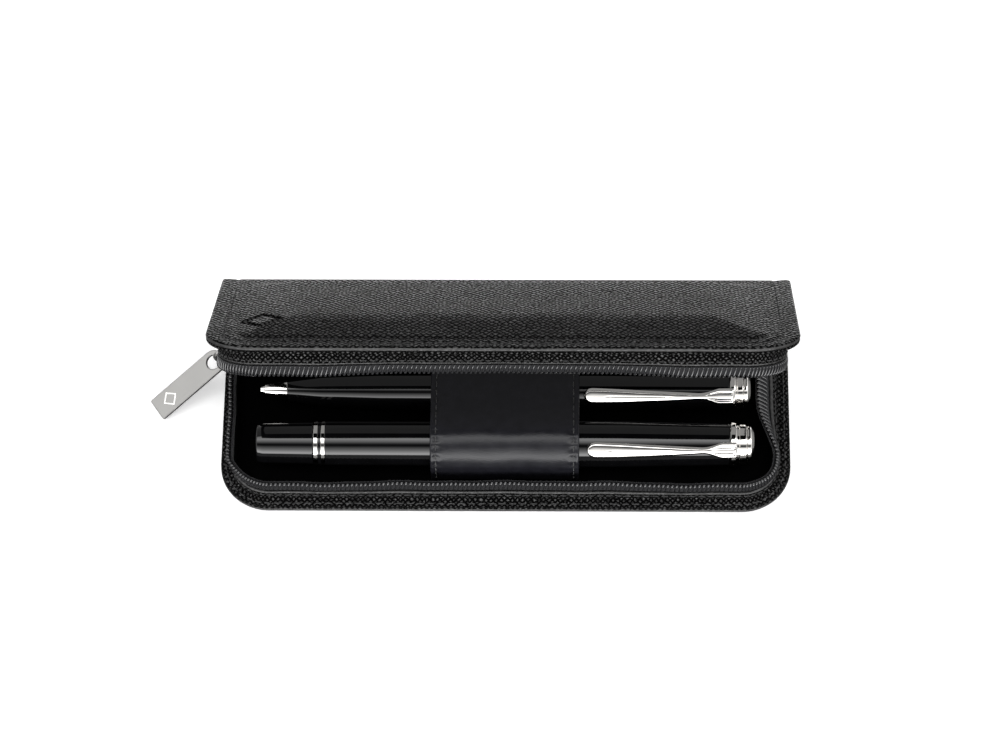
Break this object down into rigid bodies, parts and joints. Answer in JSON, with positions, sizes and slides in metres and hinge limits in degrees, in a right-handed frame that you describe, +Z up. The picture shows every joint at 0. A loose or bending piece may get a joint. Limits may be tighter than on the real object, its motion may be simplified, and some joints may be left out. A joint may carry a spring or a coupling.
{
  "type": "fountain pen case",
  "caption": "Soft leather case that zips round three sides and opens like a book, with a lined tray, a padded lid, sewn pen loops, a zip slider with pull, and pens held in the loops.",
  "frame": {"origin": "centre of the tray's underside, on the table", "axes": "+X to the right along the pens, +Y from the front edge towards the spine, +Z up; the lid stands half open at rest"},
  "size_m": [0.1833, 0.063, 0.0665],
  "materials": {
    "grained_leather": "pebbled",
    "smooth_leather": "smooth",
    "lining": "napped",
    "board": "matte",
    "padding": "foam",
    "tape": "woven",
    "coil": "glossy",
    "thread": "twisted",
    "slider_metal": "polished",
    "trim": "polished",
    "resin": "polished",
    "nib_metal": "polished",
    "refill_metal": "satin"
  },
  "bodies": {
    "tray": {"tray_cover": "grained_leather", "tray_board": "board", "tray_lining": "lining", "tray_gusset": "grained_leather", "tray_zip_tape": "tape", "tray_zip_coil": "coil", "tray_wall_lining": "lining", "tray_edge_thread": "thread", "tray_zip_stops": "slider_metal", "pen_band": "smooth_leather", "pen_band_lining": "lining", "loop_dividers": "smooth_leather", "band_thread": "thread"},
    "spine": {"spine_cover": "grained_leather", "spine_board": "board", "spine_lining": "lining"},
    "lid": {"lid_cover": "grained_leather", "lid_padding": "padding", "lid_board": "board", "lid_lining": "lining", "lid_gusset": "grained_leather", "lid_zip_tape": "tape", "lid_zip_coil": "coil", "lid_wall_lining": "lining", "lid_edge_thread": "thread", "lid_zip_stops": "slider_metal"},
    "slider": {"slider_body": "slider_metal", "slider_bail": "slider_metal"},
    "pull": {"puller": "trim"},
    "fountain_pen": {"fountain_pen_tail_rings": "trim", "fountain_pen_spacer_ring": "resin", "fountain_pen_barrel": "resin", "fountain_pen_section": "resin", "fountain_pen_feed": "resin", "fountain_pen_nib": "nib_metal", "fountain_pen_cap": "resin", "fountain_pen_lip_ring": "trim", "fountain_pen_crown_ring": "trim", "fountain_pen_finial": "trim", "fountain_pen_clip": "trim"},
    "piston_knob": {"fountain_pen_piston_knob": "resin"},
    "piston": {"fountain_pen_piston": "resin"},
    "ball_pen": {"ball_pen_centre_ring": "trim", "ball_pen_upper_barrel": "resin", "ball_pen_crown_ring": "trim", "ball_pen_finial": "trim", "ball_pen_clip": "trim"},
    "ball_pen_lower": {"ball_pen_tip_cone": "trim", "ball_pen_lower_barrel": "resin"},
    "refill": {"ball_pen_refill": "refill_metal"}
  },
  "joints": [
    {"name": "spine_fold", "type": "hinge", "parent": "tray", "child": "spine", "pos_m": [0, 0.0315, 0], "axis": [-1, 0, 0], "range_deg": [0, 90]},
    {"name": "lid_fold", "type": "hinge", "parent": "spine", "child": "lid", "pos_m": [0, 0.0315, 0.022], "axis": [-1, 0, 0], "range_deg": [-45, 45]},
    {"name": "slider_travel", "type": "slide", "parent": "tray", "child": "slider", "axis": [0, 1, 0], "range_m": [-0.0265, 0.0078]},
    {"name": "puller_lift", "type": "hinge", "parent": "slider", "child": "pull", "pos_m": [-0.0819, 0.012, 0.0106], "axis": [-0.5707, 0.8211, 0], "range_deg": [0, 70]},
    {"name": "fountain_pen_shift", "type": "slide", "parent": "tray", "child": "fountain_pen", "axis": [1, 0, 0], "range_m": [-0.0018, 0.003]},
    {"name": "piston_knob_turn", "type": "hinge", "parent": "fountain_pen", "child": "piston_knob", "pos_m": [-0.063, -0.0148, 0.01], "axis": [1, 0, 0], "range_deg": [0, 720]},
    {"name": "piston_travel", "type": "slide", "parent": "fountain_pen", "child": "piston", "axis": [1, 0, 0], "range_m": [0, 0.025]},
    {"name": "ball_pen_shift", "type": "slide", "parent": "tray", "child": "ball_pen", "axis": [1, 0, 0], "range_m": [-0.0009, 0.001]},
    {"name": "ball_pen_twist", "type": "hinge", "parent": "ball_pen", "child": "ball_pen_lower", "pos_m": [0, 0.0024, 0.009], "axis": [1, 0, 0], "range_deg": [0, 150]},
    {"name": "refill_extend", "type": "slide", "parent": "ball_pen", "child": "refill", "axis": [-1, 0, 0], "range_m": [0, 0.0028]}
  ],
  "couplings": [
    {"joint": "piston_knob_turn", "follows": "piston_travel", "rad_per_m": 502.51},
    {"joint": "ball_pen_twist", "follows": "refill_extend", "rad_per_m": 934.58}
  ]
}
